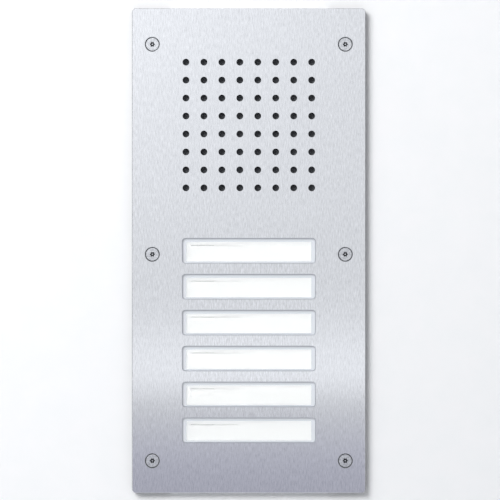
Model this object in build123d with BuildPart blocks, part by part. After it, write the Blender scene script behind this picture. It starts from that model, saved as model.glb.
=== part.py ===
"""Flush-mounted door intercom panel: steel front plate, speech unit, six lit call buttons and wall box.

Frame: +X right and +Z up as seen from the street, +Y into the wall. The origin is the centre of the
plate's outline on the wall face (Y = 0), so the plate stands in front of Y = 0 and the box behind it.
"""
from build123d import *
import math
import os

os.makedirs("parts", exist_ok=True)

# ---- driving dimensions, mm ----

# front plate and its gasket
PLATE_WIDTH = 130.0
PLATE_THICKNESS = 3.0
PLATE_CORNER = 2.2
PLATE_EDGE_BREAK = 0.3
GASKET_THICKNESS = 1.0
GASKET_INSET = 0.5
GASKET_WIDTH = 4.0

# M4 countersunk security screws, in three rows
SCREW_EDGE = 11.25
SCREW_TOP_EDGE = 20.0
SCREW_BOTTOM_EDGE = 18.0
SCREW_MIDDLE_DROP = 1.0
SCREW_THREAD = 4.0
SCREW_HOLE = 4.5
SCREW_HEAD = 7.1
SCREW_HEAD_RIM = 0.1
SCREW_SEAT_GAP = 0.03
SCREW_REACH = 12.0
COUNTERSINK = 8.4
COUNTERSINK_ANGLE = 90.0
STAR_RECESS = 2.9
STAR_LOBES = 6
STAR_LOBE = 0.36
STAR_DEPTH = 1.5
STAR_PIN = 0.8

# sound holes and call windows
SOUND_HOLE = 3.8
SOUND_PITCH = 10.0
SOUND_COUNT = 8
SOUND_FIRST_ROW = 30.0
WINDOW_WIDTH = 74.5
WINDOW_HEIGHT = 14.2
WINDOW_CORNER = 2.0
WINDOW_PITCH = 20.0
WINDOW_COUNT = 6
SOUND_TO_WINDOW = 35.0
WINDOW_TO_BOTTOM = 35.0

# wall box of folded sheet, covered by the plate's margin all round
BOX_SIDE_MARGIN = 5.0
BOX_END_MARGIN = 6.0
BOX_DEPTH = 46.0
BOX_SHEET = 1.2
BOX_CORNER = 2.0
BOX_REAR_ROUND = 1.5
BOX_SIDE_FLANGE = 12.5
BOX_END_FLANGE = 10.0
BOX_HOLE = 5.0
BOX_HOLE_SPACING_X = 80.0
BOX_HOLE_SPACING_Z = 200.0
KNOCKOUT = 20.0
KNOCKOUT_SCORE = 0.8
KNOCKOUT_SCORE_DEPTH = 0.5
KNOCKOUT_SPACING = 50.0
TONGUE_WIDTH = 10.0
TONGUE_LENGTH = 12.0
TONGUE_ANGLE = 18.0
TONGUE_SLIT = 0.8
TONGUE_SPACING = 120.0

# rivet nuts in the box flange
NUT_HEAD = 9.0
NUT_HEAD_THICKNESS = 0.8
NUT_BODY = 6.0
NUT_BULGE = 8.0
NUT_BULGE_LENGTH = 2.4
NUT_LENGTH = 11.0

# rubber cable grommet in the back of the box
ENTRY_HOLE = 16.0
ENTRY_Z = 60.0
GROMMET_OUTER = 20.0
GROMMET_BORE = 10.0
GROMMET_LIP = 2.0

# studs welded to the back of the plate, and their flanged nuts
STUD = 3.0
STUD_CLEARANCE = 0.2
STUD_NUT_FLATS = 5.5
STUD_NUT_HEIGHT = 2.4
STUD_NUT_FLANGE = 7.0
STUD_NUT_FLANGE_HEIGHT = 0.5
STUD_TAIL = 1.2

# speech unit housing and cover
SPEECH_SIDE_RIM = 5.0
SPEECH_END_RIM = 8.0
SPEECH_REAR_GAP = 1.0
SPEECH_WALL = 2.0
SPEECH_FRONT = 2.5
SPEECH_EAR = 9.0
SPEECH_COVER = 2.0
SPEECH_STUD_INSET = 5.0
MEMBRANE_THICKNESS = 0.5
MEMBRANE_MARGIN = 0.3
COVER_SCREW_INSET = 7.0
COVER_SCREW_SPACING_Z = 56.0
COVER_SCREW = 2.5
COVER_SCREW_HEAD = 5.0
COVER_SCREW_LENGTH = 9.0
COVER_BOSS = 6.0

# loudspeaker
SPEAKER_DIAMETER = 50.0
SPEAKER_RISE = 11.0
SPEAKER_OPENING = 44.0
SPEAKER_GASKET = 1.0
BASKET_SHEET = 0.8
BASKET_DEPTH = 11.3
BASKET_BASE = 23.0
BASKET_WINDOW = 6.5
BASKET_WINDOW_COUNT = 4
MAGNET_DIAMETER = 24.0
MAGNET_HEIGHT = 6.4
POLE_PLATE = 21.0
POLE_PLATE_HEIGHT = 1.2
ROLL_RADIUS = 1.8
ROLL_CENTRE = 19.0
FILM = 0.3
RIM = 0.8
CONE_NECK = 6.0
CONE_DEPTH = 6.5
DUST_CAP_RISE = 1.8
CLAMP_SCREW_COUNT = 3
CLAMP_BOSS = 4.8
CLAMP_BOSS_GAP = 0.2
CLAMP_HEAD = 7.6

# microphone and its boot
MIC_X = 5.0
MIC_DIAMETER = 9.7
MIC_LENGTH = 4.5
MIC_PORT = 3.0
BOOT_DIAMETER = 13.0
BOOT_FRONT = 1.0
BOOT_LENGTH = 6.0

# circuit boards share one plane behind the button carrier
BOARD_DEPTH = 12.0
BOARD_THICKNESS = 1.6
SPEECH_BOARD_GAP = 2.0
SPEECH_BOARD_HEIGHT = 30.0
SPEECH_BOARD_RISE = 18.5
SPEECH_BOARD_HOLE_INSET_X = 4.0
SPEECH_BOARD_HOLE_INSET_Z = 3.0
BOARD_POST = 5.0
BOARD_SCREW = 2.2
BOARD_SCREW_HEAD = 4.0
BOARD_SCREW_HEAD_HEIGHT = 1.6
BOARD_SCREW_LENGTH = 6.0
SCREW_PILOT_GAP = 0.05
SCREW_SLOT = 0.7
SCREW_SLOT_DEPTH = 0.6

# amplifier, processor and coil, as (x, z, width, height) from the board's centre, and capacitors, as
# (x, z, diameter)
CHIPS = [(-18.0, -4.0, 10.0, 7.0), (-4.0, 8.0, 7.0, 7.0), (18.0, -6.0, 9.0, 9.0)]
CHIP_THICKNESS = 1.6
CAPACITORS = [(-20.0, 8.0, 6.0), (14.0, 8.0, 6.3), (23.0, 7.0, 6.3)]
CAPACITOR_LENGTH = 7.0

# trimmers, terminals and ribbon lead on the back of the boards
TRIMMER_SIZE = 8.0
TRIMMER_HEIGHT = 4.6
TRIMMER_RISE = 6.0
TRIMMER_PLACES_X = (-24.0, -10.0)
ROTOR_DIAMETER = 4.4
ROTOR_HEIGHT = 1.6
ROTOR_CLEARANCE = 0.05
ROTOR_BORE_DEPTH = 1.4
ROTOR_SLOT = 3.5
ROTOR_CROSS_SLOT = 2.2
TRIMMER_ACCESS = 6.0
TERMINAL_COUNT = 6
TERMINAL_PITCH = 5.08
TERMINAL_X = -11.0
TERMINAL_DROP = 9.5
TERMINAL_BREADTH = 9.0
TERMINAL_HEIGHT = 10.4
TERMINAL_MOUTH = 3.4
TERMINAL_MOUTH_DEPTH = 6.3
TERMINAL_WELL = 3.8
TERMINAL_SCREW_GAP = 0.1
TERMINAL_SCREW_LENGTH = 2.5
TERMINAL_SCREW_SINK = 1.6
COVER_SLOT_MARGIN = 0.8
PLUG_X = 14.0
PLUG_WIDTH = 18.0
PLUG_BREADTH = 6.0
PLUG_HEIGHT = 7.4
RIBBON_WIDTH = 12.7
RIBBON_THICKNESS = 0.9
RIBBON_LEVEL = 5.0
RIBBON_BOW = 4.5
RIBBON_BEND = 3.0
RIBBON_GRIP = 1.5
RIBBON_NOTCH_GAP = 1.0

# button carrier
CARRIER_SIDE_WALL = 6.0
CARRIER_END_WALL = 2.6
CARRIER_FLOOR = 1.8
CARRIER_STUD_INSET = 3.0
CARRIER_STUD_END = 6.0
BAY_GAP = 0.3

# call buttons
CAP_GAP = 0.25
CAP_SINK = 1.2
CAP_LENS = 1.2
CAP_WALL = 0.8
CAP_SIDE_OVERLAP = 1.45
CAP_END_OVERLAP = 1.4
CAP_FLANGE_THICKNESS = 1.2
CAP_EDGE_ROUND = 0.3
REST_GAP = 0.05
LABEL_SIDE_GAP = 1.4
LABEL_END_GAP = 0.15
LABEL_THICKNESS = 0.25
LABEL_SPACE = 0.35
CARRIAGE_FIT = 0.2
CARRIAGE_SKIN = 1.0
CARRIAGE_WALL = 1.2
CARRIAGE_REAR = 6.0
CARRIAGE_WEB = 8.0
BUTTON_TRAVEL = 1.2

# return springs, two under each button
SPRING_INSET = 5.7
SPRING_DIAMETER = 5.0
SPRING_WIRE = 0.5
SPRING_TURNS = 5.0
SPRING_SEAT_DEPTH = 3.0
SPRING_CUP = 7.0
SPRING_CUP_GAP = 0.35
SPRING_PEG = 3.2
SPRING_PEG_HEIGHT = 1.4
SPRING_END_GAP = 0.05

# push switches and lamps on the button board
SWITCH_SIZE = 6.2
SWITCH_HEIGHT = 3.4
SWITCH_OPENING_GAP = 0.9
PLUNGER_DIAMETER = 3.5
PLUNGER_CLEARANCE = 0.05
PLUNGER_STANDS = 1.0
PLUNGER_BORE_DEPTH = 1.9
PLUNGER_IN_BORE = 1.5
PLUNGER_TRAVEL = 0.3
ACTUATOR_DIAMETER = 4.0
ACTUATOR_CLEARANCE = 0.05
LED_DIAMETER = 3.0
LED_HEIGHT = 3.6
LED_X = 18.0
LED_OPENING = 6.0

# ---- places worked out from them ----

PLATE_REAR = -GASKET_THICKNESS
PLATE_FRONT = PLATE_REAR - PLATE_THICKNESS
SOUND_SPAN = (SOUND_COUNT - 1) * SOUND_PITCH
WINDOW_SPAN = (WINDOW_COUNT - 1) * WINDOW_PITCH
PLATE_HEIGHT = SOUND_FIRST_ROW + SOUND_SPAN + SOUND_TO_WINDOW + WINDOW_SPAN + WINDOW_TO_BOTTOM
PLATE_TOP = PLATE_HEIGHT / 2
SCREW_X = PLATE_WIDTH / 2 - SCREW_EDGE
SCREW_TOP = PLATE_TOP - SCREW_TOP_EDGE
SCREW_BOTTOM = SCREW_BOTTOM_EDGE - PLATE_TOP
SCREW_MIDDLE = (SCREW_TOP + SCREW_BOTTOM) / 2 - SCREW_MIDDLE_DROP
SCREW_ROWS = [SCREW_TOP, SCREW_MIDDLE, SCREW_BOTTOM]
SCREW_PLACES = [(side * SCREW_X, z) for z in SCREW_ROWS for side in (-1, 1)]
SCREW_HEAD_TOP = PLATE_FRONT + (COUNTERSINK - SCREW_HEAD) / 2 - SCREW_HEAD_RIM - SCREW_SEAT_GAP
SOUND_CENTRE = PLATE_TOP - SOUND_FIRST_ROW - SOUND_SPAN / 2
WINDOW_TOP_ROW = SOUND_CENTRE - SOUND_SPAN / 2 - SOUND_TO_WINDOW
WINDOW_ROWS = [WINDOW_TOP_ROW - row * WINDOW_PITCH for row in range(WINDOW_COUNT)]
BOX_WIDTH = PLATE_WIDTH - 2 * BOX_SIDE_MARGIN
BOX_HEIGHT = PLATE_HEIGHT - 2 * BOX_END_MARGIN
BOX_INNER_REAR = BOX_DEPTH - BOX_SHEET
BOARD_REAR = BOARD_DEPTH + BOARD_THICKNESS
MEMBRANE_SIZE = SOUND_COUNT * SOUND_PITCH
SPEECH_WIDTH = MEMBRANE_SIZE + 2 * SPEECH_SIDE_RIM
SPEECH_HEIGHT = MEMBRANE_SIZE + 2 * SPEECH_END_RIM
SPEECH_REAR = BOARD_REAR + PLUG_HEIGHT + SPEECH_REAR_GAP
SPEECH_DEPTH = SPEECH_REAR - PLATE_REAR
SPEECH_INNER_FRONT = PLATE_REAR + SPEECH_FRONT
SPEECH_BOTTOM = SOUND_CENTRE - SPEECH_HEIGHT / 2
SPEECH_STUDS = [
    (x_side * (SPEECH_WIDTH / 2 - SPEECH_STUD_INSET),
     SOUND_CENTRE + z_side * (SPEECH_HEIGHT / 2 - SPEECH_STUD_INSET))
    for x_side in (-1, 1)
    for z_side in (-1, 1)
]
SPEAKER_Z = SOUND_CENTRE + SPEAKER_RISE
FLANGE_FRONT = SPEECH_INNER_FRONT + SPEAKER_GASKET
FLANGE_REAR = FLANGE_FRONT + BASKET_SHEET
MAGNET_FRONT = FLANGE_FRONT + BASKET_DEPTH
CLAMP_RADIUS = SPEAKER_DIAMETER / 2 + CLAMP_BOSS / 2 + CLAMP_BOSS_GAP
CLAMP_PLACES = [
    (CLAMP_RADIUS * math.sin(math.tau * turn / CLAMP_SCREW_COUNT),
     SPEAKER_Z + CLAMP_RADIUS * math.cos(math.tau * turn / CLAMP_SCREW_COUNT))
    for turn in range(CLAMP_SCREW_COUNT)
]
MIC_Z = SOUND_CENTRE - SOUND_SPAN / 2
COVER_SCREW_X = SPEECH_WIDTH / 2 - COVER_SCREW_INSET
COVER_SCREW_PLACES = [
    (x_side * COVER_SCREW_X, SOUND_CENTRE + z_side * COVER_SCREW_SPACING_Z / 2)
    for x_side in (-1, 1)
    for z_side in (-1, 1)
]
SPEECH_BOARD_WIDTH = 2 * (COVER_SCREW_X - COVER_BOSS / 2 - SPEECH_BOARD_GAP)
SPEECH_BOARD_Z = SPEECH_BOTTOM + SPEECH_BOARD_RISE
SPEECH_BOARD_HOLES = [
    (x_side * (SPEECH_BOARD_WIDTH / 2 - SPEECH_BOARD_HOLE_INSET_X),
     SPEECH_BOARD_Z + z_side * (SPEECH_BOARD_HEIGHT / 2 - SPEECH_BOARD_HOLE_INSET_Z))
    for x_side in (-1, 1)
    for z_side in (-1, 1)
]
TRIMMER_Z = SPEECH_BOARD_Z + TRIMMER_RISE
TERMINAL_Z = SPEECH_BOARD_Z - TERMINAL_DROP
TERMINAL_FIRST_X = TERMINAL_X - (TERMINAL_COUNT - 1) * TERMINAL_PITCH / 2
TERMINAL_XS = [TERMINAL_FIRST_X + way * TERMINAL_PITCH for way in range(TERMINAL_COUNT)]
CAP_FLANGE_WIDTH = WINDOW_WIDTH + 2 * CAP_SIDE_OVERLAP
CAP_FLANGE_HEIGHT = WINDOW_HEIGHT + 2 * CAP_END_OVERLAP
BAY_WIDTH = CAP_FLANGE_WIDTH + 2 * BAY_GAP
BAY_HEIGHT = CAP_FLANGE_HEIGHT + 2 * BAY_GAP
CARRIER_CENTRE = WINDOW_TOP_ROW - WINDOW_SPAN / 2
CARRIER_WIDTH = BAY_WIDTH + 2 * CARRIER_SIDE_WALL
CARRIER_HEIGHT = WINDOW_SPAN + BAY_HEIGHT + 2 * CARRIER_END_WALL
CARRIER_INNER_REAR = BOARD_DEPTH - CARRIER_FLOOR
CARRIER_STUDS = [
    (side * (CARRIER_WIDTH / 2 - CARRIER_STUD_INSET),
     CARRIER_CENTRE + level * (CARRIER_HEIGHT / 2 - CARRIER_STUD_END))
    for side in (-1, 1)
    for level in (-1, 0, 1)
]
PLUG_1_Z = TERMINAL_Z
PLUG_2_Z = WINDOW_TOP_ROW
RIBBON_DEPTH = BOARD_REAR + RIBBON_LEVEL
CAP_FRONT = PLATE_FRONT + CAP_SINK
CAP_WIDTH = WINDOW_WIDTH - 2 * CAP_GAP
CAP_HEIGHT = WINDOW_HEIGHT - 2 * CAP_GAP
CAP_INNER_WIDTH = CAP_WIDTH - 2 * CAP_WALL
CAP_INNER_HEIGHT = CAP_HEIGHT - 2 * CAP_WALL
CAP_INNER_CORNER = WINDOW_CORNER - CAP_GAP - CAP_WALL
FLANGE_TOP = PLATE_REAR + REST_GAP
CARRIAGE_SHOULDER = FLANGE_TOP + CAP_FLANGE_THICKNESS
CARRIAGE_FACE = CAP_FRONT + CAP_LENS + LABEL_SPACE + LABEL_THICKNESS
CARRIAGE_NOSE_WIDTH = CAP_INNER_WIDTH - 2 * CARRIAGE_FIT
CARRIAGE_NOSE_HEIGHT = CAP_INNER_HEIGHT - 2 * CARRIAGE_FIT
LABEL_WIDTH = CAP_INNER_WIDTH - 2 * LABEL_SIDE_GAP
LABEL_HEIGHT = CAP_INNER_HEIGHT - 2 * LABEL_END_GAP
LED_PLACES = [(side * LED_X, row) for row in WINDOW_ROWS for side in (-1, 1)]
SWITCH_FRONT = BOARD_DEPTH - SWITCH_HEIGHT
PLUNGER_FRONT = SWITCH_FRONT - PLUNGER_STANDS
ACTUATOR_TIP = PLUNGER_FRONT + PLUNGER_TRAVEL - BUTTON_TRAVEL - ACTUATOR_CLEARANCE
SPRING_X = CAP_FLANGE_WIDTH / 2 - SPRING_INSET
SPRING_PLACES = [(side * SPRING_X, row) for row in WINDOW_ROWS for side in (-1, 1)]
SPRING_FRONT = CARRIAGE_REAR - SPRING_SEAT_DEPTH + SPRING_END_GAP
SPRING_REAR = CARRIER_INNER_REAR - SPRING_END_GAP


def facing(depth, x=0.0, z=0.0):
    """Plane that faces the street, at a depth behind the wall face, so extruding runs towards the street."""
    return Plane(origin=(x, depth, z), x_dir=(1, 0, 0), z_dir=(0, -1, 0))


def turning(z, x=0.0):
    """Plane for half profiles drawn as (radius, depth), to be turned about the axis through (x, z)."""
    return Plane(origin=(x, 0, z), x_dir=(1, 0, 0), z_dir=(0, 0, 1))


def depth_axis(z, x=0.0):
    """Axis running into the wall through (x, z)."""
    return Axis((x, 0, z), (0, 1, 0))


def ear_outline(inset=0.0):
    """Outline of the speech unit's tub: a rectangle whose corners are cut away for the fixing ears."""
    Rectangle(SPEECH_WIDTH - 2 * inset, SPEECH_HEIGHT - 2 * inset)
    corner = SPEECH_EAR + inset
    with GridLocations(SPEECH_WIDTH, SPEECH_HEIGHT, 2, 2):
        Rectangle(2 * corner, 2 * corner, mode=Mode.SUBTRACT)


def finish(piece, name):
    """Name one sub-part and write it as its own file."""
    piece.part.label = name
    export_step(piece.part, f"parts/{name}.step")


# ---- front plate, gasket and security screws ----

with BuildPart() as front_plate:
    with BuildSketch(facing(PLATE_REAR)):
        RectangleRounded(PLATE_WIDTH, PLATE_HEIGHT, PLATE_CORNER)
    extrude(amount=PLATE_THICKNESS)
    chamfer(front_plate.faces().sort_by(Axis.Y)[0].edges(), length=PLATE_EDGE_BREAK)
    with BuildSketch(facing(PLATE_REAR)):
        with Locations((0, SOUND_CENTRE)):
            with GridLocations(SOUND_PITCH, SOUND_PITCH, SOUND_COUNT, SOUND_COUNT):
                Circle(SOUND_HOLE / 2)
        with Locations(*[(0, row) for row in WINDOW_ROWS]):
            RectangleRounded(WINDOW_WIDTH, WINDOW_HEIGHT, WINDOW_CORNER)
    extrude(amount=PLATE_THICKNESS, mode=Mode.SUBTRACT)
    with Locations(*[facing(PLATE_FRONT, x, z) for x, z in SCREW_PLACES]):
        CounterSinkHole(SCREW_HOLE / 2, COUNTERSINK / 2, PLATE_THICKNESS, COUNTERSINK_ANGLE)
finish(front_plate, "front_plate")

with BuildPart() as plate_gasket:
    with BuildSketch(facing(0)):
        ring_width = PLATE_WIDTH - 2 * GASKET_INSET
        ring_height = PLATE_HEIGHT - 2 * GASKET_INSET
        RectangleRounded(ring_width, ring_height, PLATE_CORNER)
        Rectangle(ring_width - 2 * GASKET_WIDTH, ring_height - 2 * GASKET_WIDTH, mode=Mode.SUBTRACT)
    extrude(amount=GASKET_THICKNESS)
finish(plate_gasket, "plate_gasket")

cone_height = (SCREW_HEAD - SCREW_THREAD) / 2
shank_front = SCREW_HEAD_TOP + SCREW_HEAD_RIM + cone_height
shank_rear = SCREW_HEAD_TOP + SCREW_REACH
with BuildPart() as fixing_screws:
    with BuildSketch(facing(shank_rear)):
        with Locations(*SCREW_PLACES):
            Circle(SCREW_THREAD / 2)
    extrude(amount=shank_rear - shank_front)
    with Locations(*[facing(shank_front, x, z) for x, z in SCREW_PLACES]):
        Cone(SCREW_THREAD / 2, SCREW_HEAD / 2, cone_height, align=(Align.CENTER, Align.CENTER, Align.MIN))
    with BuildSketch(facing(SCREW_HEAD_TOP)):
        with Locations(*SCREW_PLACES):
            Circle(SCREW_HEAD / 2)
    extrude(amount=-SCREW_HEAD_RIM)
    # six-lobed recess with a centre pin
    lobe_circle = STAR_RECESS / 2 - STAR_LOBE
    with BuildSketch(facing(SCREW_HEAD_TOP)):
        for x, z in SCREW_PLACES:
            with Locations((x, z)):
                Circle(lobe_circle)
                with PolarLocations(lobe_circle, STAR_LOBES):
                    Circle(STAR_LOBE)
                Circle(STAR_PIN / 2, mode=Mode.SUBTRACT)
    extrude(amount=-STAR_DEPTH, mode=Mode.SUBTRACT)
finish(fixing_screws, "fixing_screws")

# ---- wall box, rivet nuts and cable grommet ----

with BuildPart() as flush_box:
    with BuildSketch(facing(BOX_DEPTH)):
        RectangleRounded(BOX_WIDTH, BOX_HEIGHT, BOX_CORNER)
    extrude(amount=BOX_DEPTH)
    fillet(flush_box.faces().sort_by(Axis.Y)[-1].edges(), radius=BOX_REAR_ROUND)
    with BuildSketch(facing(BOX_INNER_REAR)):
        RectangleRounded(BOX_WIDTH - 2 * BOX_SHEET, BOX_HEIGHT - 2 * BOX_SHEET, BOX_CORNER - BOX_SHEET)
    extrude(amount=BOX_INNER_REAR - BOX_SHEET, mode=Mode.SUBTRACT)
    with BuildSketch(facing(BOX_SHEET)):
        Rectangle(BOX_WIDTH - 2 * BOX_SIDE_FLANGE, BOX_HEIGHT - 2 * BOX_END_FLANGE)
        with Locations(*SCREW_PLACES):
            Circle(NUT_BODY / 2 + SCREW_PILOT_GAP)
    extrude(amount=BOX_SHEET, mode=Mode.SUBTRACT)
    with BuildSketch(facing(BOX_DEPTH)):
        with GridLocations(BOX_HOLE_SPACING_X, BOX_HOLE_SPACING_Z, 2, 2):
            Circle(BOX_HOLE / 2)
        with Locations((0, ENTRY_Z)):
            Circle(ENTRY_HOLE / 2)
    extrude(amount=BOX_SHEET, mode=Mode.SUBTRACT)
    # scored knock-outs in the top and bottom walls
    for side in (-1, 1):
        with BuildSketch(Plane.XY.offset(side * BOX_HEIGHT / 2)):
            with Locations((0, BOX_DEPTH / 2)):
                with GridLocations(KNOCKOUT_SPACING, 1, 2, 1):
                    Circle(KNOCKOUT / 2)
                    Circle(KNOCKOUT / 2 - KNOCKOUT_SCORE, mode=Mode.SUBTRACT)
        extrude(amount=-side * KNOCKOUT_SCORE_DEPTH, mode=Mode.SUBTRACT)
    # tongues cut from the side walls and bent outwards, which key the box into the plaster
    with BuildSketch(Plane.YZ.offset(-BOX_WIDTH / 2)):
        with Locations((BOX_DEPTH / 2, 0)):
            with GridLocations(1, TONGUE_SPACING, 1, 2):
                Rectangle(TONGUE_LENGTH, TONGUE_WIDTH + 2 * TONGUE_SLIT)
    extrude(amount=BOX_WIDTH, mode=Mode.SUBTRACT)
    tongue_root = BOX_DEPTH / 2 + TONGUE_LENGTH / 2
    tongue_out = TONGUE_LENGTH * math.sin(math.radians(TONGUE_ANGLE))
    tongue_along = TONGUE_LENGTH * math.cos(math.radians(TONGUE_ANGLE))
    for side in (-1, 1):
        for level in (-1, 1):
            with BuildSketch(Plane.XY.offset(level * TONGUE_SPACING / 2 - TONGUE_WIDTH / 2)):
                with BuildLine():
                    Polyline(
                        (side * (BOX_WIDTH / 2 - BOX_SHEET), tongue_root + BOX_SHEET),
                        (side * BOX_WIDTH / 2, tongue_root + BOX_SHEET),
                        (side * BOX_WIDTH / 2, tongue_root),
                        (side * (BOX_WIDTH / 2 + tongue_out), tongue_root - tongue_along),
                        (side * (BOX_WIDTH / 2 + tongue_out - BOX_SHEET), tongue_root - tongue_along),
                        (side * (BOX_WIDTH / 2 - BOX_SHEET), tongue_root),
                        close=True,
                    )
                make_face()
            extrude(amount=TONGUE_WIDTH)
finish(flush_box, "flush_box")

with BuildPart() as box_nuts:
    with BuildSketch(facing(0)):
        with Locations(*SCREW_PLACES):
            Circle(NUT_HEAD / 2)
    extrude(amount=NUT_HEAD_THICKNESS)
    with BuildSketch(facing(0)):
        with Locations(*SCREW_PLACES):
            Circle(NUT_BODY / 2)
    extrude(amount=-NUT_LENGTH)
    with BuildSketch(facing(BOX_SHEET)):
        with Locations(*SCREW_PLACES):
            Circle(NUT_BULGE / 2)
    extrude(amount=-NUT_BULGE_LENGTH)
    with BuildSketch(facing(NUT_LENGTH)):
        with Locations(*SCREW_PLACES):
            Circle(SCREW_THREAD / 2 + SCREW_PILOT_GAP)
    extrude(amount=NUT_LENGTH + NUT_HEAD_THICKNESS, mode=Mode.SUBTRACT)
finish(box_nuts, "box_nuts")

with BuildPart() as cable_grommet:
    with BuildSketch(facing(BOX_DEPTH + GROMMET_LIP)):
        with Locations((0, ENTRY_Z)):
            Circle(GROMMET_OUTER / 2)
            Circle(GROMMET_BORE / 2, mode=Mode.SUBTRACT)
    extrude(amount=BOX_SHEET + 2 * GROMMET_LIP)
    with BuildSketch(facing(BOX_DEPTH)):
        with Locations((0, ENTRY_Z)):
            Circle(GROMMET_OUTER / 2)
            Circle(ENTRY_HOLE / 2 - SCREW_PILOT_GAP, mode=Mode.SUBTRACT)
    extrude(amount=BOX_SHEET, mode=Mode.SUBTRACT)
finish(cable_grommet, "cable_grommet")

# ---- studs on the back of the plate, and their nuts ----

EAR_NUT_SEAT = SPEECH_INNER_FRONT
CARRIER_NUT_SEAT = BOARD_REAR
STUD_ROWS = [(SPEECH_STUDS, EAR_NUT_SEAT), (CARRIER_STUDS, CARRIER_NUT_SEAT)]

with BuildPart() as weld_studs:
    for places, nut_seat in STUD_ROWS:
        with BuildSketch(facing(PLATE_REAR)):
            with Locations(*places):
                Circle(STUD / 2)
        extrude(amount=-(nut_seat + STUD_NUT_HEIGHT + STUD_TAIL - PLATE_REAR))
finish(weld_studs, "weld_studs")

with BuildPart() as stud_nuts:
    for places, nut_seat in STUD_ROWS:
        with BuildSketch(facing(nut_seat)):
            with Locations(*places):
                Circle(STUD_NUT_FLANGE / 2)
        extrude(amount=-STUD_NUT_FLANGE_HEIGHT)
        with BuildSketch(facing(nut_seat)):
            with Locations(*places):
                RegularPolygon(STUD_NUT_FLATS / 2, 6, major_radius=False)
        extrude(amount=-STUD_NUT_HEIGHT)
        with BuildSketch(facing(nut_seat)):
            with Locations(*places):
                Circle(STUD / 2 + SCREW_PILOT_GAP)
        extrude(amount=-STUD_NUT_HEIGHT, mode=Mode.SUBTRACT)
finish(stud_nuts, "stud_nuts")

# ---- speech unit: membrane, housing, cover ----

with BuildPart() as acoustic_membrane:
    with BuildSketch(facing(PLATE_REAR + MEMBRANE_THICKNESS)):
        with Locations((0, SOUND_CENTRE)):
            Rectangle(MEMBRANE_SIZE, MEMBRANE_SIZE)
    extrude(amount=MEMBRANE_THICKNESS)
finish(acoustic_membrane, "acoustic_membrane")

with BuildPart() as speech_housing:
    with BuildSketch(facing(SPEECH_REAR)):
        with Locations((0, SOUND_CENTRE)):
            ear_outline()
    extrude(amount=SPEECH_DEPTH)
    with BuildSketch(facing(SPEECH_REAR)):
        with Locations((0, SOUND_CENTRE)):
            ear_outline(SPEECH_WALL)
    extrude(amount=SPEECH_DEPTH - SPEECH_FRONT, mode=Mode.SUBTRACT)
    with BuildSketch(facing(SPEECH_INNER_FRONT)):
        with Locations((0, SOUND_CENTRE)):
            RectangleRounded(SPEECH_WIDTH, SPEECH_HEIGHT, SPEECH_STUD_INSET)
    extrude(amount=SPEECH_FRONT)
    # posts for the cover screws, the board and the loudspeaker clamps
    with BuildSketch(facing(SPEECH_REAR)):
        with Locations(*COVER_SCREW_PLACES):
            Circle(COVER_BOSS / 2)
    extrude(amount=SPEECH_REAR - SPEECH_INNER_FRONT)
    with BuildSketch(facing(BOARD_DEPTH)):
        with Locations(*SPEECH_BOARD_HOLES):
            Circle(BOARD_POST / 2)
    extrude(amount=BOARD_DEPTH - SPEECH_INNER_FRONT)
    with BuildSketch(facing(FLANGE_REAR)):
        with Locations(*CLAMP_PLACES):
            Circle(CLAMP_BOSS / 2)
    extrude(amount=FLANGE_REAR - SPEECH_INNER_FRONT)
    # pilot holes in the posts
    for places, mouth, thread, length in (
        (COVER_SCREW_PLACES, SPEECH_REAR, COVER_SCREW, COVER_SCREW_LENGTH - SPEECH_COVER),
        (SPEECH_BOARD_HOLES, BOARD_DEPTH, BOARD_SCREW, BOARD_SCREW_LENGTH - BOARD_THICKNESS),
        (CLAMP_PLACES, FLANGE_REAR, BOARD_SCREW, FLANGE_REAR - SPEECH_INNER_FRONT),
    ):
        with BuildSketch(facing(mouth)):
            with Locations(*places):
                Circle(thread / 2 + SCREW_PILOT_GAP)
        extrude(amount=length + SCREW_PILOT_GAP, mode=Mode.SUBTRACT)
    # openings in the front: stud holes, loudspeaker, microphone port, membrane recess
    with BuildSketch(facing(SPEECH_INNER_FRONT)):
        with Locations(*SPEECH_STUDS):
            Circle(STUD / 2 + STUD_CLEARANCE)
        with Locations((0, SPEAKER_Z)):
            Circle(SPEAKER_OPENING / 2)
        with Locations((MIC_X, MIC_Z)):
            Circle(MIC_PORT / 2)
    extrude(amount=SPEECH_FRONT, mode=Mode.SUBTRACT)
    with BuildSketch(facing(PLATE_REAR + MEMBRANE_THICKNESS)):
        with Locations((0, SOUND_CENTRE)):
            Rectangle(MEMBRANE_SIZE + 2 * MEMBRANE_MARGIN, MEMBRANE_SIZE + 2 * MEMBRANE_MARGIN)
    extrude(amount=MEMBRANE_THICKNESS, mode=Mode.SUBTRACT)
    # notch in the bottom wall where the ribbon leaves
    notch_depth = SPEECH_REAR - RIBBON_DEPTH + RIBBON_THICKNESS / 2 + RIBBON_NOTCH_GAP
    with BuildSketch(facing(SPEECH_REAR)):
        with Locations((PLUG_X, SPEECH_BOTTOM + SPEECH_WALL / 2)):
            Rectangle(RIBBON_WIDTH + 2 * RIBBON_NOTCH_GAP, SPEECH_WALL)
    extrude(amount=notch_depth, mode=Mode.SUBTRACT)
finish(speech_housing, "speech_housing")

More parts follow.
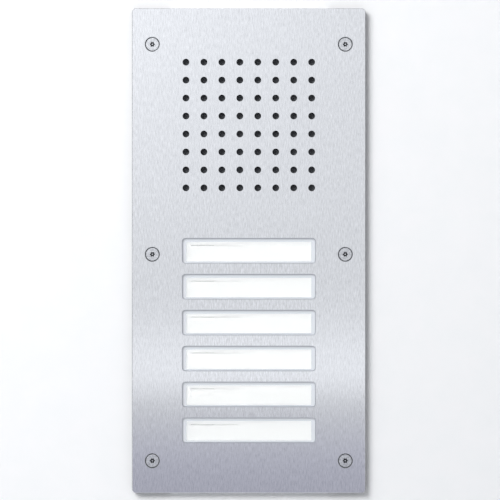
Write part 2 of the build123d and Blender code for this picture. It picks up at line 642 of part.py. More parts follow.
with BuildPart() as speech_cover:
    with BuildSketch(facing(SPEECH_REAR + SPEECH_COVER)):
        with Locations((0, SOUND_CENTRE)):
            ear_outline()
        with Locations(*COVER_SCREW_PLACES):
            Circle(COVER_SCREW / 2 + STUD_CLEARANCE, mode=Mode.SUBTRACT)
        with Locations(*[(x, TRIMMER_Z) for x in TRIMMER_PLACES_X]):
            Circle(TRIMMER_ACCESS / 2, mode=Mode.SUBTRACT)
        with Locations((TERMINAL_X, TERMINAL_Z)):
            slot_width = TERMINAL_COUNT * TERMINAL_PITCH + 2 * COVER_SLOT_MARGIN
            Rectangle(slot_width, TERMINAL_BREADTH + 2 * COVER_SLOT_MARGIN, mode=Mode.SUBTRACT)
    extrude(amount=SPEECH_COVER)
finish(speech_cover, "speech_cover")


def pan_screws(places, seat, thread, head, head_height, length):
    """Slotted pan-head screws driven towards the street from a seat."""
    with BuildPart() as screws:
        with BuildSketch(facing(seat)):
            with Locations(*places):
                Circle(head / 2)
        extrude(amount=-head_height)
        with BuildSketch(facing(seat)):
            with Locations(*places):
                Circle(thread / 2)
        extrude(amount=length)
        with BuildSketch(facing(seat + head_height)):
            with Locations(*places):
                Rectangle(head, SCREW_SLOT)
        extrude(amount=SCREW_SLOT_DEPTH, mode=Mode.SUBTRACT)
    return screws


cover_screws = pan_screws(
    COVER_SCREW_PLACES, SPEECH_REAR + SPEECH_COVER, COVER_SCREW, COVER_SCREW_HEAD,
    BOARD_SCREW_HEAD_HEIGHT, COVER_SCREW_LENGTH,
)
finish(cover_screws, "cover_screws")

# ---- loudspeaker ----

with BuildPart() as speaker_gasket:
    with BuildSketch(facing(FLANGE_FRONT)):
        with Locations((0, SPEAKER_Z)):
            Circle(SPEAKER_DIAMETER / 2)
            Circle(SPEAKER_OPENING / 2, mode=Mode.SUBTRACT)
    extrude(amount=SPEAKER_GASKET)
finish(speaker_gasket, "speaker_gasket")

flange_inner = ROLL_CENTRE + ROLL_RADIUS
with BuildPart() as speaker_basket:
    with BuildSketch(turning(SPEAKER_Z)):
        with BuildLine():
            Polyline(
                (SPEAKER_DIAMETER / 2, FLANGE_FRONT),
                (flange_inner, FLANGE_FRONT),
                (BASKET_BASE / 2, MAGNET_FRONT - BASKET_SHEET),
                (CONE_NECK, MAGNET_FRONT - BASKET_SHEET),
                (CONE_NECK, MAGNET_FRONT),
                (BASKET_BASE / 2 + BASKET_SHEET / 2, MAGNET_FRONT),
                (flange_inner + BASKET_SHEET, FLANGE_REAR),
                (SPEAKER_DIAMETER / 2, FLANGE_REAR),
                close=True,
            )
        make_face()
    revolve(axis=depth_axis(SPEAKER_Z))
    # four round windows through the sloping wall
    window_depth = (FLANGE_REAR + MAGNET_FRONT) / 2
    for turn in range(BASKET_WINDOW_COUNT):
        direction = Vector(1, 0, 1).rotate(Axis.Y, turn * 360 / BASKET_WINDOW_COUNT)
        with BuildSketch(Plane(origin=(0, window_depth, SPEAKER_Z), x_dir=(0, 1, 0), z_dir=direction)):
            Circle(BASKET_WINDOW / 2)
        extrude(amount=SPEAKER_DIAMETER / 2, mode=Mode.SUBTRACT)
finish(speaker_basket, "speaker_basket")

with BuildPart() as speaker_surround:
    with BuildSketch(turning(SPEAKER_Z)):
        with Locations((ROLL_CENTRE, FLANGE_FRONT)):
            Circle(ROLL_RADIUS)
            Circle(ROLL_RADIUS - FILM, mode=Mode.SUBTRACT)
            Rectangle(3 * ROLL_RADIUS, ROLL_RADIUS, align=(Align.CENTER, Align.MIN), mode=Mode.SUBTRACT)
        with Locations((flange_inner - FILM, FLANGE_FRONT)):
            Rectangle(RIM + FILM, FILM, align=(Align.MIN, Align.MAX))
        with Locations((ROLL_CENTRE - ROLL_RADIUS + FILM, FLANGE_FRONT)):
            Rectangle(RIM + FILM, FILM, align=(Align.MAX, Align.MAX))
    revolve(axis=depth_axis(SPEAKER_Z))
finish(speaker_surround, "speaker_surround")

cone_mouth = ROLL_CENTRE - ROLL_RADIUS
with BuildPart() as speaker_cone:
    with BuildSketch(turning(SPEAKER_Z)):
        with BuildLine():
            Polyline(
                (cone_mouth, FLANGE_FRONT),
                (cone_mouth - RIM, FLANGE_FRONT),
                (CONE_NECK, FLANGE_FRONT + CONE_DEPTH),
                (CONE_NECK, FLANGE_FRONT + CONE_DEPTH + FILM),
                (cone_mouth - RIM, FLANGE_FRONT + FILM),
                (cone_mouth, FLANGE_FRONT + FILM),
                close=True,
            )
        make_face()
    revolve(axis=depth_axis(SPEAKER_Z))
finish(speaker_cone, "speaker_cone")

cap_rim = FLANGE_FRONT + CONE_DEPTH
dome_rim = CONE_NECK - FILM
dome_radius = (dome_rim**2 + DUST_CAP_RISE**2) / (2 * DUST_CAP_RISE)
dome_apex = cap_rim - DUST_CAP_RISE
with BuildPart() as speaker_dust_cap:
    with BuildSketch(turning(SPEAKER_Z)):
        with Locations((0, dome_apex + dome_radius)):
            Circle(dome_radius)
            Circle(dome_radius - FILM, mode=Mode.SUBTRACT)
        with Locations((0, dome_apex)):
            Rectangle(dome_rim, DUST_CAP_RISE, align=(Align.MIN, Align.MIN), mode=Mode.INTERSECT)
    revolve(axis=depth_axis(SPEAKER_Z))
finish(speaker_dust_cap, "speaker_dust_cap")

with BuildPart() as speaker_magnet:
    with BuildSketch(facing(MAGNET_FRONT)):
        with Locations((0, SPEAKER_Z)):
            Circle(MAGNET_DIAMETER / 2)
    extrude(amount=-MAGNET_HEIGHT)
    with BuildSketch(facing(MAGNET_FRONT + MAGNET_HEIGHT)):
        with Locations((0, SPEAKER_Z)):
            Circle(POLE_PLATE / 2)
    extrude(amount=-POLE_PLATE_HEIGHT)
finish(speaker_magnet, "speaker_magnet")

speaker_screws = pan_screws(
    CLAMP_PLACES, FLANGE_REAR, BOARD_SCREW, CLAMP_HEAD,
    BOARD_SCREW_HEAD_HEIGHT, FLANGE_REAR - SPEECH_INNER_FRONT,
)
finish(speaker_screws, "speaker_screws")

# ---- microphone ----

with BuildPart() as microphone_boot:
    with BuildSketch(facing(SPEECH_INNER_FRONT + BOOT_LENGTH)):
        with Locations((MIC_X, MIC_Z)):
            Circle(BOOT_DIAMETER / 2)
            Circle(MIC_DIAMETER / 2 + SCREW_PILOT_GAP, mode=Mode.SUBTRACT)
    extrude(amount=BOOT_LENGTH - BOOT_FRONT)
    with BuildSketch(facing(SPEECH_INNER_FRONT + BOOT_FRONT)):
        with Locations((MIC_X, MIC_Z)):
            Circle(BOOT_DIAMETER / 2)
            Circle(MIC_PORT / 2, mode=Mode.SUBTRACT)
    extrude(amount=BOOT_FRONT)
finish(microphone_boot, "microphone_boot")

with BuildPart() as microphone:
    with BuildSketch(facing(SPEECH_INNER_FRONT + BOOT_FRONT + MIC_LENGTH)):
        with Locations((MIC_X, MIC_Z)):
            Circle(MIC_DIAMETER / 2)
    extrude(amount=MIC_LENGTH)
finish(microphone, "microphone")

# ---- speech board with its parts ----

with BuildPart() as speech_board:
    with BuildSketch(facing(BOARD_REAR)):
        with Locations((0, SPEECH_BOARD_Z)):
            Rectangle(SPEECH_BOARD_WIDTH, SPEECH_BOARD_HEIGHT)
        with Locations(*SPEECH_BOARD_HOLES):
            Circle(BOARD_SCREW / 2 + STUD_CLEARANCE, mode=Mode.SUBTRACT)
    extrude(amount=BOARD_THICKNESS)
finish(speech_board, "speech_board")

board_screws = pan_screws(
    SPEECH_BOARD_HOLES, BOARD_REAR, BOARD_SCREW, BOARD_SCREW_HEAD,
    BOARD_SCREW_HEAD_HEIGHT, BOARD_SCREW_LENGTH,
)
finish(board_screws, "board_screws")

with BuildPart() as board_parts:
    for x, z, width, height in CHIPS:
        with BuildSketch(facing(BOARD_DEPTH)):
            with Locations((x, SPEECH_BOARD_Z + z)):
                Rectangle(width, height)
        extrude(amount=CHIP_THICKNESS)
    for x, z, diameter in CAPACITORS:
        with BuildSketch(facing(BOARD_DEPTH)):
            with Locations((x, SPEECH_BOARD_Z + z)):
                Circle(diameter / 2)
        extrude(amount=CAPACITOR_LENGTH)
finish(board_parts, "board_parts")

TRIMMER_REAR = BOARD_REAR + TRIMMER_HEIGHT
with BuildPart() as trimmer_bodies:
    with BuildSketch(facing(TRIMMER_REAR)):
        with Locations(*[(x, TRIMMER_Z) for x in TRIMMER_PLACES_X]):
            Rectangle(TRIMMER_SIZE, TRIMMER_SIZE)
    extrude(amount=TRIMMER_HEIGHT)
    with BuildSketch(facing(TRIMMER_REAR)):
        with Locations(*[(x, TRIMMER_Z) for x in TRIMMER_PLACES_X]):
            Circle(ROTOR_DIAMETER / 2 + ROTOR_CLEARANCE)
    extrude(amount=ROTOR_BORE_DEPTH, mode=Mode.SUBTRACT)
finish(trimmer_bodies, "trimmer_bodies")

rotor_front = TRIMMER_REAR - ROTOR_BORE_DEPTH + ROTOR_CLEARANCE
for number, rotor_x in enumerate(TRIMMER_PLACES_X, start=1):
    with BuildPart() as trimmer_rotor:
        with BuildSketch(facing(rotor_front)):
            with Locations((rotor_x, TRIMMER_Z)):
                Circle(ROTOR_DIAMETER / 2)
        extrude(amount=-ROTOR_HEIGHT)
        with BuildSketch(facing(rotor_front + ROTOR_HEIGHT)):
            with Locations((rotor_x, TRIMMER_Z)):
                Rectangle(ROTOR_SLOT, SCREW_SLOT)
                Rectangle(SCREW_SLOT, ROTOR_CROSS_SLOT)
        extrude(amount=SCREW_SLOT_DEPTH, mode=Mode.SUBTRACT)
    finish(trimmer_rotor, f"trimmer_rotor_{number}")

TERMINAL_REAR = BOARD_REAR + TERMINAL_HEIGHT
terminal_bottom = TERMINAL_Z - TERMINAL_BREADTH / 2
with BuildPart() as terminal_block:
    with BuildSketch(facing(TERMINAL_REAR)):
        with Locations((TERMINAL_X, TERMINAL_Z)):
            Rectangle(TERMINAL_COUNT * TERMINAL_PITCH, TERMINAL_BREADTH)
    extrude(amount=TERMINAL_HEIGHT)
    with BuildSketch(facing(TERMINAL_REAR)):
        with Locations(*[(x, TERMINAL_Z) for x in TERMINAL_XS]):
            Circle(TERMINAL_WELL / 2)
    extrude(amount=TERMINAL_SCREW_SINK + TERMINAL_SCREW_LENGTH, mode=Mode.SUBTRACT)
    with BuildSketch(Plane.XY.offset(terminal_bottom)):
        with Locations(*[(x, BOARD_REAR + TERMINAL_MOUTH) for x in TERMINAL_XS]):
            Rectangle(TERMINAL_MOUTH, TERMINAL_MOUTH)
    extrude(amount=TERMINAL_MOUTH_DEPTH, mode=Mode.SUBTRACT)
finish(terminal_block, "terminal_block")

screw_rear = TERMINAL_REAR - TERMINAL_SCREW_SINK
with BuildPart() as terminal_screws:
    with BuildSketch(facing(screw_rear)):
        with Locations(*[(x, TERMINAL_Z) for x in TERMINAL_XS]):
            Circle(TERMINAL_WELL / 2 - TERMINAL_SCREW_GAP)
    extrude(amount=TERMINAL_SCREW_LENGTH)
    with BuildSketch(facing(screw_rear)):
        with Locations(*[(x, TERMINAL_Z) for x in TERMINAL_XS]):
            Rectangle(TERMINAL_WELL, SCREW_SLOT)
    extrude(amount=SCREW_SLOT_DEPTH, mode=Mode.SUBTRACT)
finish(terminal_screws, "terminal_screws")

# ---- button carrier, board, lamps and switches ----

with BuildPart() as button_carrier:
    with BuildSketch(facing(BOARD_DEPTH)):
        with Locations((0, CARRIER_CENTRE)):
            Rectangle(CARRIER_WIDTH, CARRIER_HEIGHT)
    extrude(amount=BOARD_DEPTH - PLATE_REAR)
    with BuildSketch(facing(CARRIER_INNER_REAR)):
        with Locations(*[(0, row) for row in WINDOW_ROWS]):
            Rectangle(BAY_WIDTH, BAY_HEIGHT)
    extrude(amount=CARRIER_INNER_REAR - PLATE_REAR, mode=Mode.SUBTRACT)
    with BuildSketch(facing(BOARD_DEPTH)):
        with Locations(*[(0, row) for row in WINDOW_ROWS]):
            Rectangle(SWITCH_SIZE + 2 * SWITCH_OPENING_GAP, SWITCH_SIZE + 2 * SWITCH_OPENING_GAP)
        with Locations(*LED_PLACES):
            Circle(LED_OPENING / 2)
    extrude(amount=CARRIER_FLOOR, mode=Mode.SUBTRACT)
    with BuildSketch(facing(BOARD_DEPTH)):
        with Locations(*CARRIER_STUDS):
            Circle(STUD / 2 + STUD_CLEARANCE)
    extrude(amount=BOARD_DEPTH - PLATE_REAR, mode=Mode.SUBTRACT)
    with BuildSketch(facing(CARRIER_INNER_REAR)):
        with Locations(*SPRING_PLACES):
            Circle(SPRING_PEG / 2)
    extrude(amount=SPRING_PEG_HEIGHT)
finish(button_carrier, "button_carrier")

with BuildPart() as button_board:
    with BuildSketch(facing(BOARD_REAR)):
        with Locations((0, CARRIER_CENTRE)):
            Rectangle(CARRIER_WIDTH, CARRIER_HEIGHT)
        with Locations(*CARRIER_STUDS):
            Circle(STUD / 2 + STUD_CLEARANCE, mode=Mode.SUBTRACT)
    extrude(amount=BOARD_THICKNESS)
finish(button_board, "button_board")

with BuildPart() as button_leds:
    with BuildSketch(facing(BOARD_DEPTH)):
        with Locations(*LED_PLACES):
            Circle(LED_DIAMETER / 2)
    extrude(amount=LED_HEIGHT - LED_DIAMETER / 2)
    with Locations(*[facing(BOARD_DEPTH - LED_HEIGHT + LED_DIAMETER / 2, x, z) for x, z in LED_PLACES]):
        Sphere(LED_DIAMETER / 2, arc_size1=0, align=(Align.CENTER, Align.CENTER, Align.MIN))
finish(button_leds, "button_leds")

with BuildPart() as switch_bodies:
    with BuildSketch(facing(BOARD_DEPTH)):
        with Locations(*[(0, row) for row in WINDOW_ROWS]):
            Rectangle(SWITCH_SIZE, SWITCH_SIZE)
    extrude(amount=SWITCH_HEIGHT)
    with BuildSketch(facing(SWITCH_FRONT)):
        with Locations(*[(0, row) for row in WINDOW_ROWS]):
            Circle(PLUNGER_DIAMETER / 2 + PLUNGER_CLEARANCE)
    extrude(amount=-PLUNGER_BORE_DEPTH, mode=Mode.SUBTRACT)
finish(switch_bodies, "switch_bodies")

# ---- ribbon lead between the two boards ----

with BuildPart() as ribbon_plugs:
    with BuildSketch(facing(BOARD_REAR + PLUG_HEIGHT)):
        with Locations((PLUG_X, PLUG_1_Z), (PLUG_X, PLUG_2_Z)):
            Rectangle(PLUG_WIDTH, PLUG_BREADTH)
    extrude(amount=PLUG_HEIGHT)
    # the ribbon is gripped in a slit in the facing edges of the two plugs
    plug_gap_top = PLUG_1_Z - PLUG_BREADTH / 2
    plug_gap_bottom = PLUG_2_Z + PLUG_BREADTH / 2
    with BuildSketch(facing(RIBBON_DEPTH + RIBBON_THICKNESS / 2)):
        with Locations((PLUG_X, (plug_gap_top + plug_gap_bottom) / 2)):
            Rectangle(RIBBON_WIDTH, plug_gap_top - plug_gap_bottom + 2 * RIBBON_GRIP)
    extrude(amount=RIBBON_THICKNESS, mode=Mode.SUBTRACT)
finish(ribbon_plugs, "ribbon_plugs")

ribbon_top = plug_gap_top + RIBBON_GRIP
ribbon_end = plug_gap_bottom - RIBBON_GRIP
straight_top = SPEECH_BOTTOM
straight_end = plug_gap_bottom + RIBBON_GRIP
bow_middle = (straight_top + straight_end) / 2
ribbon_face = RIBBON_DEPTH - RIBBON_THICKNESS / 2
with BuildPart() as ribbon_cable:
    with BuildSketch(Plane.YZ.offset(PLUG_X - RIBBON_WIDTH / 2)):
        with BuildLine():
            FilletPolyline(
                (ribbon_face, ribbon_top),
                (ribbon_face, straight_top),
                (ribbon_face + RIBBON_BOW, bow_middle),
                (ribbon_face, straight_end),
                (ribbon_face, ribbon_end),
                radius=RIBBON_BEND,
            )
            offset(amount=RIBBON_THICKNESS, side=Side.LEFT)
        make_face()
    extrude(amount=RIBBON_WIDTH)
finish(ribbon_cable, "ribbon_cable")

# ---- return springs ----

with BuildPart() as button_springs:
    coil_radius = (SPRING_DIAMETER - SPRING_WIRE) / 2
    coil_height = SPRING_REAR - SPRING_FRONT - SPRING_WIRE
    with BuildLine():
        coil = Helix(
            coil_height / SPRING_TURNS, coil_height, coil_radius,
            center=(0, SPRING_REAR - SPRING_WIRE / 2, 0), direction=(0, -1, 0),
        )
    with BuildSketch(Plane(origin=coil @ 0, z_dir=coil % 0)):
        Circle(SPRING_WIRE / 2)
    sweep(is_frenet=True)
one_spring = button_springs.part.solid()
spring_set = Compound(children=[Pos(x, 0, z) * one_spring for x, z in SPRING_PLACES])
spring_set.label = "button_springs"
export_step(spring_set, "parts/button_springs.step")

# ---- six call buttons: clear cap, label card, light carriage and switch plunger ----

for number, row in enumerate(WINDOW_ROWS, start=1):
    with BuildPart() as button_cap:
        with BuildSketch(facing(CARRIAGE_SHOULDER)):
            with Locations((0, row)):
                RectangleRounded(CAP_WIDTH, CAP_HEIGHT, WINDOW_CORNER - CAP_GAP)
        extrude(amount=CARRIAGE_SHOULDER - CAP_FRONT)
        fillet(button_cap.faces().sort_by(Axis.Y)[0].edges(), radius=CAP_EDGE_ROUND)
        with BuildSketch(facing(CARRIAGE_SHOULDER)):
            with Locations((0, row)):
                RectangleRounded(CAP_FLANGE_WIDTH, CAP_FLANGE_HEIGHT, WINDOW_CORNER)
        extrude(amount=CAP_FLANGE_THICKNESS)
        with BuildSketch(facing(CARRIAGE_SHOULDER)):
            with Locations((0, row)):
                RectangleRounded(CAP_INNER_WIDTH, CAP_INNER_HEIGHT, CAP_INNER_CORNER)
        extrude(amount=CARRIAGE_SHOULDER - CAP_FRONT - CAP_LENS, mode=Mode.SUBTRACT)
    finish(button_cap, f"button_cap_{number}")

    with BuildPart() as label_card:
        with BuildSketch(facing(CARRIAGE_FACE)):
            with Locations((0, row)):
                Rectangle(LABEL_WIDTH, LABEL_HEIGHT)
        extrude(amount=LABEL_THICKNESS)
    finish(label_card, f"label_card_{number}")

    with BuildPart() as button_carriage:
        with BuildSketch(facing(CARRIAGE_REAR)):
            with Locations((0, row)):
                RectangleRounded(CAP_FLANGE_WIDTH, CAP_FLANGE_HEIGHT, WINDOW_CORNER)
        extrude(amount=CARRIAGE_REAR - CARRIAGE_SHOULDER)
        with BuildSketch(facing(CARRIAGE_SHOULDER)):
            with Locations((0, row)):
                RectangleRounded(CARRIAGE_NOSE_WIDTH, CARRIAGE_NOSE_HEIGHT, CAP_INNER_CORNER)
        extrude(amount=CARRIAGE_SHOULDER - CARRIAGE_FACE)
        # light chamber, open to the lamps, with a web for the switch and cups for the springs
        chamber_width = CARRIAGE_NOSE_WIDTH - 2 * CARRIAGE_WALL
        chamber_height = CARRIAGE_NOSE_HEIGHT - 2 * CARRIAGE_WALL
        with BuildSketch(facing(CARRIAGE_REAR)):
            with Locations((0, row)):
                Rectangle(chamber_width, chamber_height)
                Rectangle(CARRIAGE_WEB, chamber_height, mode=Mode.SUBTRACT)
            with Locations(*[(side * SPRING_X, row) for side in (-1, 1)]):
                Circle(SPRING_CUP / 2, mode=Mode.SUBTRACT)
        extrude(amount=CARRIAGE_REAR - CARRIAGE_FACE - CARRIAGE_SKIN, mode=Mode.SUBTRACT)
        with BuildSketch(facing(CARRIAGE_REAR)):
            with Locations(*[(side * SPRING_X, row) for side in (-1, 1)]):
                Circle(SPRING_DIAMETER / 2 + SPRING_CUP_GAP)
        extrude(amount=SPRING_SEAT_DEPTH, mode=Mode.SUBTRACT)
        with BuildSketch(facing(ACTUATOR_TIP)):
            with Locations((0, row)):
                Circle(ACTUATOR_DIAMETER / 2)
        extrude(amount=ACTUATOR_TIP - CARRIAGE_REAR)
    finish(button_carriage, f"button_carriage_{number}")

    with BuildPart() as switch_plunger:
        with BuildSketch(facing(SWITCH_FRONT + PLUNGER_IN_BORE)):
            with Locations((0, row)):
                Circle(PLUNGER_DIAMETER / 2)
        extrude(amount=PLUNGER_STANDS + PLUNGER_IN_BORE)
    finish(switch_plunger, f"switch_plunger_{number}")
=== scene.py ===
"""Door intercom panel: finishes, springs, wall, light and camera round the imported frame, in metres."""
import math

import bpy
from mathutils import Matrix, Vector


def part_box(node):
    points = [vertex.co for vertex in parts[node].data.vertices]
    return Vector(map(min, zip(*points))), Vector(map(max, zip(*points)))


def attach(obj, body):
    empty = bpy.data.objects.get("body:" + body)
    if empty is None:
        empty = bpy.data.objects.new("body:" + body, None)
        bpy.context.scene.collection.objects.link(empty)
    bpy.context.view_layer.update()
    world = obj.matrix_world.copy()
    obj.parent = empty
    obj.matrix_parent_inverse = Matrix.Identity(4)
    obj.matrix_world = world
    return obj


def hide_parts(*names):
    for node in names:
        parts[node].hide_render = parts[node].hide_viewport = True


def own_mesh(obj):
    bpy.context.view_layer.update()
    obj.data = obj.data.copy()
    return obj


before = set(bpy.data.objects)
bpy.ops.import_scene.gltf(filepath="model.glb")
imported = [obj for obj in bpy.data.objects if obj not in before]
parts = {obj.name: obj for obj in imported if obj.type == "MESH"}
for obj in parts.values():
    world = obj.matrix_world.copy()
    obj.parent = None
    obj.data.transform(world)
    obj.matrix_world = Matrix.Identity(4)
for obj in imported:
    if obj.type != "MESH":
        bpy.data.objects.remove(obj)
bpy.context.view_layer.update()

bpy.ops.object.select_all(action="DESELECT")


# Front plate: 3 mm stainless sheet, laser cut, its face ground with a belt in the upright direction and its
# edges broken. The belt leaves fine upright scratches that spread every reflection sideways.
MM = 0.001
plate_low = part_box("front_plate")[0]


def linear(hex_colour):
    """The linear RGBA of an sRGB hex colour."""
    shares = [int(hex_colour[i:i + 2], 16) / 255 for i in (0, 2, 4)]
    return [c / 12.92 if c <= 0.04045 else ((c + 0.055) / 1.055) ** 2.4 for c in shares] + [1.0]


def node(tree, kind, inputs=(), stops=(), **settings):
    """Adds one node. settings are its properties; inputs pairs a socket with its value or with what feeds it;
    stops are a colour ramp's positions and hex colours."""
    made = tree.nodes.new("ShaderNode" + kind)
    while stops and len(made.color_ramp.elements) < len(stops):
        made.color_ramp.elements.new(0.5)
    for element, (position, colour) in zip(made.color_ramp.elements if stops else (), stops):
        element.position = position
        element.color = linear(colour)
    for name, value in settings.items():
        setattr(made, name, value)
    for name, value in inputs:
        if isinstance(value, bpy.types.NodeSocket):
            tree.links.new(value, made.inputs[name])
        else:
            made.inputs[name].default_value = value
    return made


def surface(name, **sockets):
    """A new material, its tree, its Principled shader and its Object coordinates."""
    material = bpy.data.materials.new(name)
    material.use_nodes = True
    tree = material.node_tree
    shader = tree.nodes["Principled BSDF"]
    for socket, value in sockets.items():
        shader.inputs[socket.replace("_", " ")].default_value = value
    return material, tree, shader, node(tree, "TexCoord").outputs["Object"]


def feed(tree, shader, **sources):
    """Links sources to the shader's sockets, underscores standing for spaces."""
    for socket, source in sources.items():
        tree.links.new(source, shader.inputs[socket.replace("_", " ")])


def dress(material, *names):
    """Gives a finish to CAD nodes."""
    for name in names:
        parts[name].data.materials.clear()
        parts[name].data.materials.append(material)


steel, tree, shader, place = surface(
    "stainless steel, belt ground upright", Metallic=1.0, Roughness=0.22, Anisotropic=0.96)
# real scratches are some 0.05 mm wide and up to 20 mm long; the near layer is drawn 0.45 mm wide to show
near_width, near_length = 0.45 * MM, 3.2 * MM
fine_width, fine_length = 0.1 * MM, 14 * MM
streaks = []
for width, length, detail in ((near_width, near_length, 3.0), (fine_width, fine_length, 2.0)):
    stretch = node(tree, "Mapping", [("Vector", place), ("Scale", (1 / width, 1 / width, 1 / length))])
    streaks.append(node(tree, "TexNoise", [
        ("Vector", stretch.outputs["Vector"]), ("Scale", 1.0), ("Detail", detail), ("Roughness", 0.6)]))
scratches = node(tree, "Mix", [(0, 0.3), (2, streaks[0].outputs["Fac"]), (3, streaks[1].outputs["Fac"])])
level = scratches.outputs[0]
rough = node(tree, "MapRange", [("Value", level), ("From Min", 0.3), ("From Max", 0.7), ("To Min", 0.13),
                                ("To Max", 0.19)])
relief = node(tree, "Bump", [("Height", level), ("Distance", 0.01 * MM), ("Strength", 0.28)])
grain = node(tree, "CombineXYZ", [("X", 1.0)])
# the belt passes over the countersinks and the outer cut edges. Below the face at the sides these are painted
# dark:
# on the edges the darker skin of the laser cut, in the countersinks painted shade
axes = node(tree, "SeparateXYZ", [("Vector", place)])
below_face = node(tree, "MapRange", [("Value", axes.outputs["Y"]), ("From Min", plate_low.y + 0.06 * MM),
                                     ("From Max", plate_low.y + 0.4 * MM)])
window_side = 44 * MM
from_middle = node(tree, "Math", [(0, axes.outputs["X"])], operation="ABSOLUTE")
margin = node(tree, "Math", [(0, from_middle.outputs["Value"]), (1, window_side)], operation="GREATER_THAN")
cut_skin_and_shade = node(tree, "Math", [(0, below_face.outputs["Result"]), (1, margin.outputs["Value"])],
                operation="MULTIPLY")
ground = node(tree, "ValToRGB", [("Fac", level)], stops=[(0.34, "C8CACD"), (0.66, "E4E6E9")])
skin_and_shade = node(tree, "Mix", [("Factor", cut_skin_and_shade.outputs["Value"]), (6, ground.outputs["Color"]),
                          (7, linear("4A4B4E"))], data_type="RGBA")
feed(tree, shader, Base_Color=skin_and_shade.outputs[2], Roughness=rough.outputs["Result"],
     Normal=relief.outputs["Normal"], Tangent=grain.outputs["Vector"])
dress(steel, "front_plate")


# Gasket: a frame of black EPDM foam, cut with a die and stuck to the back of the plate. Its skin is matt with
# open cells that make fine pits. The loudspeaker's ring and its surround are of the same foam.
foam, tree, shader, place = surface("EPDM foam, die cut", Roughness=0.9)
cells = node(tree, "TexVoronoi", [("Vector", place), ("Scale", 1 / (0.6 * MM)), ("Randomness", 1.0)])
pits = node(tree, "Bump", [("Height", cells.outputs["Distance"]), ("Distance", 0.12 * MM), ("Strength", 0.8)])
# painted shade: the pits at the cells' middles are coloured darker than the skin between them
colour = node(tree, "ValToRGB", [("Fac", cells.outputs["Distance"])],
              stops=[(0.0, "101011"), (0.8, "2B2B2C")])
feed(tree, shader, Base_Color=colour.outputs["Color"], Normal=pits.outputs["Normal"])
dress(foam, "plate_gasket", "speaker_gasket", "speaker_surround")


# Security screws: M4 countersunk, A2 stainless, heads faced on a lathe and the six-lobed recess with its pin
# broached cold. The face is satin and bright; the recess and the cone below it are painted dark, as shade.
screw_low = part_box("fixing_screws")[0]
screw_steel, tree, shader, place = surface("A2 stainless steel, turned", Metallic=1.0, Roughness=0.3)
wear = node(tree, "TexNoise", [("Vector", place), ("Scale", 1 / (0.9 * MM)), ("Detail", 4.0)])
axes = node(tree, "SeparateXYZ", [("Vector", place)])
# painted shade: below the head's face the colour goes dark with depth
painted_recess_shade = node(tree, "MapRange", [("Value", axes.outputs["Y"]), ("From Min", screw_low.y + 0.1 * MM),
                               ("From Max", screw_low.y + 0.7 * MM)])
faced = node(tree, "ValToRGB", [("Fac", wear.outputs["Fac"])], stops=[(0.35, "B0B2B6"), (0.65, "D6D8DB")])
tint = node(tree, "Mix", [("Factor", painted_recess_shade.outputs["Result"]), (6, faced.outputs["Color"]),
                          (7, linear("2A2B2E"))], data_type="RGBA")
satin = node(tree, "MapRange", [("Value", wear.outputs["Fac"]), ("To Min", 0.26), ("To Max", 0.42)])
feed(tree, shader, Base_Color=tint.outputs[2], Roughness=satin.outputs["Result"])
dress(screw_steel, "fixing_screws")


# Sound cloth: 0.5 mm non-woven polyester, near black, that keeps rain and probes out of the loudspeaker. Its
# fibres lie in every direction and give it a felted face.
felt, tree, shader, place = surface("non-woven polyester cloth", Roughness=0.95, Sheen_Weight=0.2)
fibres = node(tree, "TexNoise", [
    ("Vector", place), ("Scale", 1 / (0.35 * MM)), ("Detail", 5.0), ("Distortion", 1.5)])
nap = node(tree, "Bump", [("Height", fibres.outputs["Fac"]), ("Distance", 0.08 * MM), ("Strength", 0.6)])
colour = node(tree, "ValToRGB", [("Fac", fibres.outputs["Fac"])], stops=[(0.35, "17181A"), (0.7, "626468")])
feed(tree, shader, Base_Color=colour.outputs["Color"], Normal=nap.outputs["Normal"])
dress(felt, "acoustic_membrane")


# Call buttons: a clear polycarbonate cap whose skirt is frosted in the mould, over a paper name card, on an
# opal polycarbonate light carriage. The cards are blank apart from a plain printed rule. The light from
# behind is painted on the cards and on the frosted skirts as a glow.
buttons = range(1, 7)
card_low, card_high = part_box("label_card_1")
card_pitch = card_low.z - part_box("label_card_2")[0].z
card_middle = (card_low.z + card_high.z) / 2
clear, tree, shader, place = surface(
    "polycarbonate, clear lens and frosted skirt", Roughness=0.05, IOR=1.585, Transmission_Weight=1.0,
    Emission_Strength=0.28)
axes = node(tree, "SeparateXYZ", [("Vector", place)])
# every cap's own height above its middle, from the pitch that they share
rise = node(tree, "Math", [(0, axes.outputs["Z"]), (1, card_middle + card_pitch / 2),
                           (2, card_middle - card_pitch / 2)], operation="WRAP")
across = node(tree, "Math", [(0, axes.outputs["X"])], operation="ABSOLUTE")
beyond_side = node(tree, "Math", [(0, across.outputs["Value"]), (1, card_high.x)], operation="SUBTRACT")
# the frosting starts at the card's edge at the bottom. At the top it comes down over the card, a grey band
# that stands for the shade of the window's upper edge: painted shade
frost_and_shade_top, frost_bottom = card_middle + 4.8 * MM, card_low.z
beyond_top = node(tree, "Math", [(0, rise.outputs["Value"]), (1, frost_and_shade_top)], operation="SUBTRACT")
beyond_bottom = node(tree, "Math", [(0, frost_bottom), (1, rise.outputs["Value"])], operation="SUBTRACT")
beyond_end = node(tree, "Math", [(0, beyond_top.outputs["Value"]), (1, beyond_bottom.outputs["Value"])],
                  operation="MAXIMUM")
beyond = node(tree, "Math", [(0, beyond_side.outputs["Value"]), (1, beyond_end.outputs["Value"])],
              operation="MAXIMUM")
frost = node(tree, "MapRange", [("Value", beyond.outputs["Value"]), ("From Min", 0.0),
                                ("From Max", 0.15 * MM)])
see_through = node(tree, "MapRange", [("Value", frost.outputs["Result"]), ("To Min", 1.0), ("To Max", 0.0)])
haze = node(tree, "TexNoise", [("Vector", place), ("Scale", 1 / (9 * MM)), ("Detail", 3.0)])
